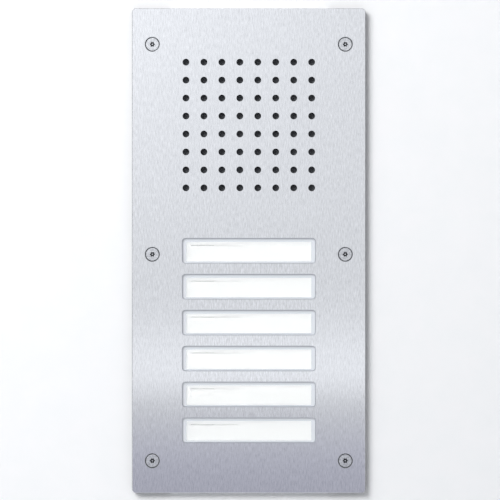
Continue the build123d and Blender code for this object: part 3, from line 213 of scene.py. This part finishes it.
scuff = node(tree, "MapRange", [("Value", haze.outputs["Fac"]), ("From Min", 0.4), ("From Max", 0.8),
                                ("To Min", 0.02), ("To Max", 0.06)])
blurred = node(tree, "Mix", [(0, frost.outputs["Result"]), (2, scuff.outputs["Result"]), (3, 0.55)])
# painted glow: the frosted skirt emits light itself, standing in for the lamps' light coming through it from
# behind
lit = node(tree, "ValToRGB", [("Fac", frost.outputs["Result"])], stops=[(0.0, "000000"), (1.0, "D8DCE2")])
colour = node(tree, "ValToRGB", [("Fac", frost.outputs["Result"])], stops=[(0.0, "FCFDFD"), (1.0, "C4C7CC")])
feed(tree, shader, Base_Color=colour.outputs["Color"],
     Roughness=blurred.outputs[0], Transmission_Weight=see_through.outputs["Result"],
     Emission_Color=lit.outputs["Color"])
dress(clear, *[f"button_cap_{number}" for number in buttons])

for number in buttons:
    card, tree, shader, place = surface(
        f"paper card {number}, coated, printed", Roughness=0.6, Emission_Strength=0.46)
    low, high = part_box(f"label_card_{number}")
    # a plain rule near the card's upper left corner: dark for its first stretch, then fainter
    corner = node(tree, "VectorMath", [(0, place), (1, (low.x, 0, high.z))], operation="SUBTRACT")
    split = node(tree, "SeparateXYZ", [("Vector", corner.outputs["Vector"])])
    rule_drop, rule_half = 2.95 * MM, 0.36 * MM
    line = node(tree, "Math", [(0, split.outputs["Z"]), (1, -rule_drop), (2, rule_half)], operation="COMPARE")
    along = node(tree, "MapRange", [("Value", split.outputs["X"]), ("From Min", 0.0),
                                    ("From Max", high.x - low.x)])
    ink = node(tree, "ValToRGB", [("Fac", along.outputs["Result"])],
               stops=[(0.0, "000000"), (0.03, "A2A2A2"), (0.22, "888888"), (0.42, "000000")])
    ink.color_ramp.interpolation = "CONSTANT"
    inked = node(tree, "Math", [(0, line.outputs["Value"]), (1, ink.outputs["Color"])], operation="MULTIPLY")
    fibre = node(tree, "TexNoise", [("Vector", place), ("Scale", 1 / (0.8 * MM)), ("Detail", 4.0)])
    pulp = node(tree, "MapRange", [("Value", fibre.outputs["Fac"]), ("To Min", 0.95), ("To Max", 1.0)])
    clean = node(tree, "Math", [(0, pulp.outputs["Result"]), (1, inked.outputs["Value"])],
                 operation="SUBTRACT")
    tone = node(tree, "VectorMath", [(0, linear("F8F8F6")[:3]), ("Scale", clean.outputs["Value"])],
                operation="SCALE")
    # painted glow: the card's tone is also its emission, standing in for the lamps' light from behind
    feed(tree, shader, Base_Color=tone.outputs["Vector"], Emission_Color=tone.outputs["Vector"])
    dress(card, f"label_card_{number}")

opal, tree, shader, place = surface(
    "polycarbonate, opal, satin", Roughness=0.4, IOR=1.585,
    Subsurface_Weight=0.2, Subsurface_Radius=(0.002, 0.002, 0.002), Subsurface_Scale=1.0)
cloud = node(tree, "TexNoise", [("Vector", place), ("Scale", 1 / (6 * MM)), ("Detail", 2.0)])
colour = node(tree, "ValToRGB", [("Fac", cloud.outputs["Fac"])], stops=[(0.3, "D9DCDF"), (0.7, "EBEDEF")])
feed(tree, shader, Base_Color=colour.outputs["Color"])
dress(opal, *[f"button_carriage_{number}" for number in buttons])


# Return springs: two under each button, five turns of 0.5 mm spring steel wire, coiled cold with open ends.
# They shorten as their button goes in, so each pair is a piece of its own in place of the rigid set.
springs_low, springs_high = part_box("button_springs")
wire, turns = 0.5 * MM, 5
coil_radius = 2.25 * MM
spring_side = springs_high.x - coil_radius - wire / 2
seat = springs_high.y - wire / 2
lead = (springs_high.y - springs_low.y - wire) / turns
spring_steel, tree, shader, place = surface("spring steel wire, drawn", Metallic=1.0, Roughness=0.32)
draw_marks = node(tree, "TexNoise", [("Vector", place), ("Scale", 1 / (0.3 * MM)), ("Detail", 3.0)])
colour = node(tree, "ValToRGB", [("Fac", draw_marks.outputs["Fac"])],
              stops=[(0.3, "8E9093"), (0.7, "C6C8CA")])
feed(tree, shader, Base_Color=colour.outputs["Color"])
for number in buttons:
    low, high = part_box(f"button_cap_{number}")
    row = (low.z + high.z) / 2
    coils = []
    for side in (-1, 1):
        bpy.ops.object.select_all(action="DESELECT")
        bpy.ops.mesh.primitive_circle_add(
            vertices=10, radius=wire / 2, fill_type="NOTHING", location=(coil_radius, 0, 0),
            rotation=(math.radians(90), 0, 0))
        bpy.ops.object.transform_apply(location=True, rotation=True, scale=True)
        coil = bpy.context.object
        winding = coil.modifiers.new("winding", "SCREW")
        winding.axis = "Z"
        winding.angle = math.tau
        winding.iterations = turns
        winding.screw_offset = lead
        winding.steps = winding.render_steps = 28
        bpy.ops.object.modifier_apply(modifier="winding")
        # close the two cut ends of the wire
        bpy.ops.object.mode_set(mode="EDIT")
        bpy.ops.mesh.select_mode(type="EDGE")
        bpy.ops.mesh.select_all(action="DESELECT")
        bpy.ops.mesh.select_non_manifold()
        bpy.ops.mesh.edge_face_add()
        bpy.ops.mesh.select_all(action="SELECT")
        bpy.ops.mesh.normals_make_consistent(inside=False)
        bpy.ops.object.mode_set(mode="OBJECT")
        bpy.ops.object.shade_smooth_by_angle(angle=math.radians(50))
        coil.rotation_euler = (math.radians(90), 0, 0)
        coil.location = (side * spring_side, seat, row)
        bpy.ops.object.transform_apply(location=True, rotation=True, scale=True)
        coils.append(coil)
    coils[0].select_set(True)
    bpy.ops.object.join()
    pair = bpy.context.object
    pair.name = f"return_springs_{number}"
    pair.data.materials.append(spring_steel)
    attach(pair, "panel")
    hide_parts("button_springs")
    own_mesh(pair)


# Button carrier, speech unit, switches and plugs: black ABS, injection moulded with a spark-eroded texture.
# The grain is a fine leathery pebble that turns the gloss down and greys the black a little.
abs_black, tree, shader, place = surface("ABS, black, textured mould", IOR=1.53, Roughness=0.5)
pebble = node(tree, "TexVoronoi", [("Vector", place), ("Scale", 1 / (0.45 * MM))], feature="SMOOTH_F1")
flow = node(tree, "TexNoise", [("Vector", place), ("Scale", 1 / (18 * MM)), ("Detail", 3.0)])
gloss = node(tree, "MapRange", [("Value", flow.outputs["Fac"]), ("To Min", 0.42), ("To Max", 0.62)])
leather = node(tree, "Bump", [("Height", pebble.outputs["Distance"]), ("Distance", 0.05 * MM),
                              ("Strength", 0.5)])
colour = node(tree, "ValToRGB", [("Fac", flow.outputs["Fac"])], stops=[(0.3, "1A1B1D"), (0.7, "26272A")])
feed(tree, shader, Base_Color=colour.outputs["Color"],
     Roughness=gloss.outputs["Result"], Normal=leather.outputs["Normal"])
dress(abs_black, "speech_housing", "speech_cover", "button_carrier", "switch_bodies", "ribbon_plugs")


# Wall box: 1.2 mm galvanised steel sheet, folded and spot welded. Hot-dip zinc freezes in flat crystals, the
# spangle, each with its own grey and its own gloss.
zinc_sheet, tree, shader, place = surface("hot-dip galvanised steel sheet", Metallic=1.0, Roughness=0.38)
spangle = node(tree, "TexVoronoi", [("Vector", place), ("Scale", 1 / (7 * MM)), ("Randomness", 0.9)])
crystal = node(tree, "SeparateXYZ", [("Vector", spangle.outputs["Color"])])
frond = node(tree, "TexNoise", [("Vector", place), ("Scale", 1 / (1.4 * MM)), ("Detail", 4.0)])
mottle = node(tree, "Mix", [(0, 0.35), (2, crystal.outputs["X"]), (3, frond.outputs["Fac"])])
dull = node(tree, "MapRange", [("Value", crystal.outputs["Y"]), ("To Min", 0.28), ("To Max", 0.5)])
colour = node(tree, "ValToRGB", [("Fac", mottle.outputs[0])], stops=[(0.1, "9CA1A6"), (0.9, "C9CDD0")])
feed(tree, shader, Base_Color=colour.outputs["Color"], Roughness=dull.outputs["Result"])
dress(zinc_sheet, "flush_box")


# Rivet nuts, welded studs, flanged nuts, small screws and the loudspeaker's basket: steel, zinc plated and
# blue passivated. The thin plating keeps a faint blue-grey cast and fine handling marks.
zinc_plate, tree, shader, place = surface("zinc plated steel, blue passivated", Metallic=1.0, Roughness=0.3)
marks = node(tree, "TexNoise", [("Vector", place), ("Scale", 1 / (1.1 * MM)), ("Detail", 5.0)])
handled = node(tree, "MapRange", [("Value", marks.outputs["Fac"]), ("To Min", 0.2), ("To Max", 0.42)])
colour = node(tree, "ValToRGB", [("Fac", marks.outputs["Fac"])], stops=[(0.3, "A9AEB4"), (0.7, "D2D6DA")])
feed(tree, shader, Base_Color=colour.outputs["Color"],
     Roughness=handled.outputs["Result"])
dress(zinc_plate, "box_nuts", "weld_studs", "stud_nuts", "cover_screws", "board_screws", "speaker_screws",
      "terminal_screws", "speaker_basket")


# Cable grommet and microphone boot: black EPDM rubber, moulded. It is matt, with a grey bloom where it has
# aged.
rubber, tree, shader, place = surface("EPDM rubber, moulded", Roughness=0.75)
bloom = node(tree, "TexNoise", [("Vector", place), ("Scale", 1 / (5 * MM)), ("Detail", 5.0)])
colour = node(tree, "ValToRGB", [("Fac", bloom.outputs["Fac"])], stops=[(0.35, "171718"), (0.75, "303133")])
feed(tree, shader, Base_Color=colour.outputs["Color"])
dress(rubber, "cable_grommet", "microphone_boot")


# Loudspeaker cone and dust cap: pressed paper pulp, dyed black. The pulp's fibres show as a felted mottle.
pulp_black, tree, shader, place = surface("paper pulp, pressed, dyed", Roughness=0.88)
mat = node(tree, "TexNoise", [
    ("Vector", place), ("Scale", 1 / (0.5 * MM)), ("Detail", 6.0), ("Distortion", 1.0)])
felted = node(tree, "Bump", [("Height", mat.outputs["Fac"]), ("Distance", 0.06 * MM), ("Strength", 0.6)])
colour = node(tree, "ValToRGB", [("Fac", mat.outputs["Fac"])], stops=[(0.3, "1B1B1C"), (0.75, "3C3C3E")])
feed(tree, shader, Base_Color=colour.outputs["Color"], Normal=felted.outputs["Normal"])
dress(pulp_black, "speaker_cone", "speaker_dust_cap")


# Magnet: a ring of sintered strontium ferrite, glued to the basket. Ferrite is charcoal grey, ground flat and
# a little rough, with chipped grain.
ferrite, tree, shader, place = surface("sintered ferrite, ground", Roughness=0.55)
grit = node(tree, "TexNoise", [("Vector", place), ("Scale", 1 / (0.25 * MM)), ("Detail", 4.0)])
chipped = node(tree, "Bump", [("Height", grit.outputs["Fac"]), ("Distance", 0.04 * MM), ("Strength", 0.5)])
colour = node(tree, "ValToRGB", [("Fac", grit.outputs["Fac"])], stops=[(0.3, "323335"), (0.7, "56585B")])
feed(tree, shader, Base_Color=colour.outputs["Color"], Normal=chipped.outputs["Normal"])
dress(ferrite, "speaker_magnet")


# Microphone: an electret capsule in a drawn aluminium can. Drawing leaves faint lines along the can.
can, tree, shader, place = surface("aluminium, drawn", Metallic=1.0, Roughness=0.28)
drawn = node(tree, "Mapping", [("Vector", place), ("Scale", (1 / (0.2 * MM), 1 / (4 * MM), 1 / (0.2 * MM)))])
lines = node(tree, "TexNoise", [("Vector", drawn.outputs["Vector"]), ("Scale", 1.0), ("Detail", 2.0)])
colour = node(tree, "ValToRGB", [("Fac", lines.outputs["Fac"])], stops=[(0.3, "C8CACD"), (0.7, "E3E5E7")])
feed(tree, shader, Base_Color=colour.outputs["Color"])
dress(can, "microphone")


# Circuit boards: FR-4 glass laminate under green solder mask. Copper tracks show through the mask as paler,
# raised lines that run one way in some areas and the other way in the rest, and vias as small dots.
mask_green, tree, shader, place = surface("FR-4 board, green solder mask", Roughness=0.25, Coat_Weight=0.3)
track_pitch, track_width = 1.27 * MM, 0.4 * MM
track_sets = []
for turn in (0, 90):
    facing = node(tree, "Mapping", [
        ("Vector", place), ("Rotation", (math.radians(90), 0, math.radians(turn)))])
    track_sets.append(node(tree, "TexBrick", [
        ("Vector", facing.outputs["Vector"]), ("Scale", 1.0), ("Mortar Size", track_width / 2),
        ("Mortar Smooth", 0.2), ("Brick Width", 17 * track_pitch), ("Row Height", 2 * track_pitch)],
        offset=0.37, offset_frequency=3))
areas = node(tree, "TexNoise", [("Vector", place), ("Scale", 1 / (22 * MM)), ("Detail", 0.0)])
which = node(tree, "Math", [(0, areas.outputs["Fac"]), (1, 0.5)], operation="GREATER_THAN")
tracks = node(tree, "Mix", [(0, which.outputs["Value"]), (2, track_sets[0].outputs["Fac"]),
                            (3, track_sets[1].outputs["Fac"])])
vias = node(tree, "TexVoronoi", [("Vector", place), ("Scale", 1 / (5 * track_pitch))])
dots = node(tree, "MapRange", [("Value", vias.outputs["Distance"]), ("From Min", 0.11), ("From Max", 0.08)])
copper = node(tree, "Math", [(0, tracks.outputs[0]), (1, dots.outputs["Result"])], operation="MAXIMUM")
raised = node(tree, "Bump", [("Height", copper.outputs["Value"]), ("Distance", 0.05 * MM), ("Strength", 0.6)])
green = node(tree, "ValToRGB", [("Fac", copper.outputs["Value"])], stops=[(0.0, "0B4A26"), (1.0, "246C3C")])
feed(tree, shader, Base_Color=green.outputs["Color"], Normal=raised.outputs["Normal"])
dress(mask_green, "speech_board", "button_board")


# Board parts: chips in black moulded epoxy, and electrolytic capacitors in a black sleeve with a bare
# aluminium top. The tops stand further towards the street than any chip, so depth tells them apart.
parts_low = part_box("board_parts")[0]
epoxy, tree, shader, place = surface("epoxy chip cases and capacitor sleeves", Roughness=0.45)
axes = node(tree, "SeparateXYZ", [("Vector", place)])
top = node(tree, "Math", [(0, axes.outputs["Y"]), (1, parts_low.y + 0.2 * MM)], operation="LESS_THAN")
dust = node(tree, "TexNoise", [("Vector", place), ("Scale", 1 / (0.7 * MM)), ("Detail", 4.0)])
case = node(tree, "ValToRGB", [("Fac", dust.outputs["Fac"])], stops=[(0.3, "17181A"), (0.7, "2C2D30")])
metal_top = node(tree, "Mix", [("Factor", top.outputs["Value"]), (6, case.outputs["Color"]),
                               (7, linear("C4C7CA"))], data_type="RGBA")
feed(tree, shader, Base_Color=metal_top.outputs[2], Metallic=top.outputs["Value"])
dress(epoxy, "board_parts")


# Small mouldings: trimmer bodies in blue DAP, their rotors and the switch plungers in white acetal, and the
# terminal block in green polyamide. All are gloss or satin with a faint flow pattern.
def moulded(name, dark, light, speck, **sockets):
    """A plain moulded plastic with a faint flow pattern between two colours, speck across."""
    material, tree, shader, place = surface(name, **sockets)
    swirl = node(tree, "TexNoise", [("Vector", place), ("Scale", 1 / speck), ("Detail", 3.0)])
    dimple = node(tree, "Bump", [
        ("Height", swirl.outputs["Fac"]), ("Distance", 0.03 * MM), ("Strength", 0.3)])
    colour = node(tree, "ValToRGB", [("Fac", swirl.outputs["Fac"])], stops=[(0.3, dark), (0.7, light)])
    feed(tree, shader, Base_Color=colour.outputs["Color"], Normal=dimple.outputs["Normal"])
    return material


dress(moulded("DAP, blue, moulded", "1D4E9E", "2C63B8", 1.5 * MM, Roughness=0.4), "trimmer_bodies")
dress(moulded("polyamide 66, green, moulded", "1E7A45", "2B9357", 3 * MM, Roughness=0.45), "terminal_block")
acetal = moulded("acetal, white, moulded", "E2E2DE", "F2F2EF", 1.5 * MM, Roughness=0.38)
dress(acetal, "trimmer_rotor_1", "trimmer_rotor_2", *[f"switch_plunger_{number}" for number in buttons])


# Lamps: 3 mm white LEDs, cast in clear epoxy and soldered to the button board. The lens shows the yellow
# phosphor over the die, and the lamp is lit.
lens_epoxy, tree, shader, place = surface("epoxy LED lens, lit", Roughness=0.1, Emission_Strength=1.2)
leds_low, leds_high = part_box("button_leds")
axes = node(tree, "SeparateXYZ", [("Vector", place)])
depth = node(tree, "MapRange", [("Value", axes.outputs["Y"]), ("From Min", leds_low.y),
                                ("From Max", leds_high.y)])
glow = node(tree, "ValToRGB", [("Fac", depth.outputs["Result"])],
            stops=[(0.0, "FFFDF4"), (0.55, "F4EFD2"), (1.0, "E3D48F")])
feed(tree, shader, Base_Color=glow.outputs["Color"], Emission_Color=glow.outputs["Color"])
dress(lens_epoxy, "button_leds")


# Ribbon lead: ten cores at 1.27 mm, extruded side by side in grey PVC and pressed into the plugs. The skin
# has ten ribs, and the first core is marked red.
ribbon_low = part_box("ribbon_cable")[0]
ribbon, tree, shader, place = surface("PVC ribbon, grey, ribbed", Roughness=0.5)
core_pitch = 1.27 * MM
axes = node(tree, "SeparateXYZ", [("Vector", place)])
count = node(tree, "Math", [(0, axes.outputs["X"]), (1, ribbon_low.x)], operation="SUBTRACT")
cores = node(tree, "Math", [(0, count.outputs["Value"]), (1, core_pitch)], operation="DIVIDE")
rib = node(tree, "Math", [(0, cores.outputs["Value"]), (1, 0.5)], operation="PINGPONG")
ribs = node(tree, "Bump", [("Height", rib.outputs["Value"]), ("Distance", 0.3 * MM), ("Strength", 1.0)])
marked = node(tree, "Math", [(0, cores.outputs["Value"]), (1, 1.0)], operation="LESS_THAN")
# painted shade: the grooves between the cores are coloured darker than the ribs
groove_shade = node(tree, "ValToRGB", [("Fac", rib.outputs["Value"])], stops=[(0.0, "6E7073"), (0.3, "A3A6AA")])
striped = node(tree, "Mix", [("Factor", marked.outputs["Value"]), (6, groove_shade.outputs["Color"]),
                             (7, linear("A83232"))], data_type="RGBA")
feed(tree, shader, Base_Color=striped.outputs[2], Normal=ribs.outputs["Normal"])
dress(ribbon, "ribbon_cable")


# Stage: a plain white wall with a cut-out for the box, a pale floor, soft lights and a long-lens camera set
# square to the plate. Nothing here belongs to the panel.
def staged(name, quads, material):
    """Flat backdrop quads, each from four corners."""
    sheet = bpy.data.meshes.new(name)
    corners = [corner for quad in quads for corner in quad]
    sheet.from_pydata(corners, [], [tuple(range(start, start + 4)) for start in range(0, len(corners), 4)])
    sheet.materials.append(material)
    card = bpy.data.objects.new(name, sheet)
    bpy.context.scene.collection.objects.link(card)
    return card


def upright(low_x, low_z, high_x, high_z, y=0.0):
    """The corners of an upright rectangle."""
    return [(low_x, y, low_z), (high_x, y, low_z), (high_x, y, high_z), (low_x, y, high_z)]


wall_paint, tree, shader, place = surface("white wall paint", Roughness=0.9)
roller = node(tree, "TexNoise", [("Vector", place), ("Scale", 1 / (14 * MM)), ("Detail", 3.0)])
colour = node(tree, "ValToRGB", [("Fac", roller.outputs["Fac"])], stops=[(0.3, "FAFBFC"), (0.7, "FDFDFE")])
feed(tree, shader, Base_Color=colour.outputs["Color"])
box_low, box_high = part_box("flush_box")
cut = 1.5 * MM
reach, floor_level, ceiling = 1.6, -1.2, 1.6
staged("wall", [
    upright(-reach, floor_level, reach, box_low.z - cut),
    upright(-reach, box_high.z + cut, reach, ceiling),
    upright(-reach, box_low.z - cut, box_low.x - cut, box_high.z + cut),
    upright(box_high.x + cut, box_low.z - cut, reach, box_high.z + cut),
], wall_paint)
floor_paint, tree, shader, place = surface("pale grey floor paint", Roughness=0.8)
speckle = node(tree, "TexNoise", [("Vector", place), ("Scale", 1 / (20 * MM)), ("Detail", 3.0)])
colour = node(tree, "ValToRGB", [("Fac", speckle.outputs["Fac"])], stops=[(0.3, "E3E5E7"), (0.7, "EBECEE")])
feed(tree, shader, Base_Color=colour.outputs["Color"])
floor_depth = 2.4
staged("floor", [[(-reach, -floor_depth, floor_level), (reach, -floor_depth, floor_level),
                  (reach, floor_depth, floor_level), (-reach, floor_depth, floor_level)]], floor_paint)

lens = 0.120
sensor = 0.036
view_width = 0.2784
distance = view_width * lens / sensor
camera = bpy.data.objects.new("camera", bpy.data.cameras.new("camera"))
bpy.context.scene.collection.objects.link(camera)
camera.data.lens = lens / MM
camera.data.sensor_width = sensor / MM
aside, above = 0.66 * MM, 0.4 * MM
camera.location = (aside, plate_low.y - distance, above)
camera.rotation_euler = (math.radians(90), 0, 0)
camera.data.clip_start = 0.01
bpy.context.scene.camera = camera

# a glowing card behind the camera is what the ground steel mirrors, so its upright gradient is the plate's
card_back = 1.35
card_half, card_bottom, card_top = 1.5, -0.6, 0.75
card_strength, side_lift = 1.45, 0.52
glow_card, tree, shader, place = surface("light card")
tree.nodes.remove(shader)
axes = node(tree, "SeparateXYZ", [("Vector", place)])
up = node(tree, "MapRange", [("Value", axes.outputs["Z"]), ("From Min", card_bottom), ("From Max", card_top)])
gradient = node(tree, "FloatCurve", [("Value", up.outputs["Result"])])
curve = gradient.mapping.curves[0]
# shares of the card's height from its foot, and the glow there: a dark foot, a bright band and a slow rise
card_tones = [
    (0.0, 0.38), (0.207, 0.43), (0.2475, 0.52), (0.278, 0.575), (0.289, 0.60), (0.2985, 0.75), (0.309, 0.86),
    (0.32, 0.92), (0.329, 0.90), (0.349, 0.84), (0.369, 0.77), (0.39, 0.73), (0.41, 0.72), (0.45, 0.735),
    (0.49, 0.765), (0.57, 0.805), (0.63, 0.84), (0.68, 0.865), (1.0, 0.88)]
while len(curve.points) < len(card_tones):
    curve.points.new(0.5, 0.5)
for point, tone in zip(curve.points, card_tones):
    point.location = tone
gradient.mapping.update()
left_side = node(tree, "MapRange", [("Value", axes.outputs["X"]), ("From Min", -0.7), ("From Max", 0.7),
                                    ("To Min", 0.7), ("To Max", -0.7)])
upper_part = node(tree, "MapRange", [("Value", axes.outputs["Z"]), ("From Min", -0.11), ("From Max", 0.32)])
lift = node(tree, "Math", [(0, left_side.outputs["Result"]), (1, upper_part.outputs["Result"])],
            operation="MULTIPLY")
lifted = node(tree, "Math", [(0, lift.outputs["Value"]), (1, side_lift), (2, gradient.outputs["Value"])],
              operation="MULTIPLY_ADD")
power = node(tree, "Math", [(0, lifted.outputs["Value"]), (1, card_strength)], operation="MULTIPLY")
cast = node(tree, "ValToRGB", [("Fac", up.outputs["Result"])], stops=[(0.23, "EFEFFF"), (0.29, "F6F7FA")])
shine = node(tree, "Emission", [("Color", cast.outputs["Color"]), ("Strength", power.outputs["Value"])])
tree.links.new(shine.outputs["Emission"], tree.nodes["Material Output"].inputs["Surface"])
light_card = staged("light_card", [upright(-card_half, card_bottom, card_half, card_top, y=-card_back)],
                    glow_card)
light_card.visible_camera = light_card.visible_diffuse = False


def softbox(name, place, towards, size, power):
    """An area light of a given width and height, aimed at a point."""
    lamp = bpy.data.objects.new(name, bpy.data.lights.new(name, "AREA"))
    bpy.context.scene.collection.objects.link(lamp)
    lamp.data.shape = "RECTANGLE"
    lamp.data.size, lamp.data.size_y = size
    lamp.data.energy = power
    lamp.location = place
    lamp.rotation_euler = (Vector(towards) - Vector(place)).to_track_quat("-Z", "Y").to_euler()


softbox("key", (-0.8, -1.05, 0.85), (0, 0, 0), (0.85, 0.85), 23.5)
softbox("rear fill", (0.9, 1.4, 0.7), (0, 0.04, 0), (0.9, 0.9), 24.0)
world = bpy.data.worlds.new("studio")
bpy.context.scene.world = world
world.use_nodes = True
sky = world.node_tree.nodes["Background"]
sky.inputs["Color"].default_value = linear("F2F4F8")
sky.inputs["Strength"].default_value = 0.45
bpy.context.scene.view_settings.view_transform = "Standard"
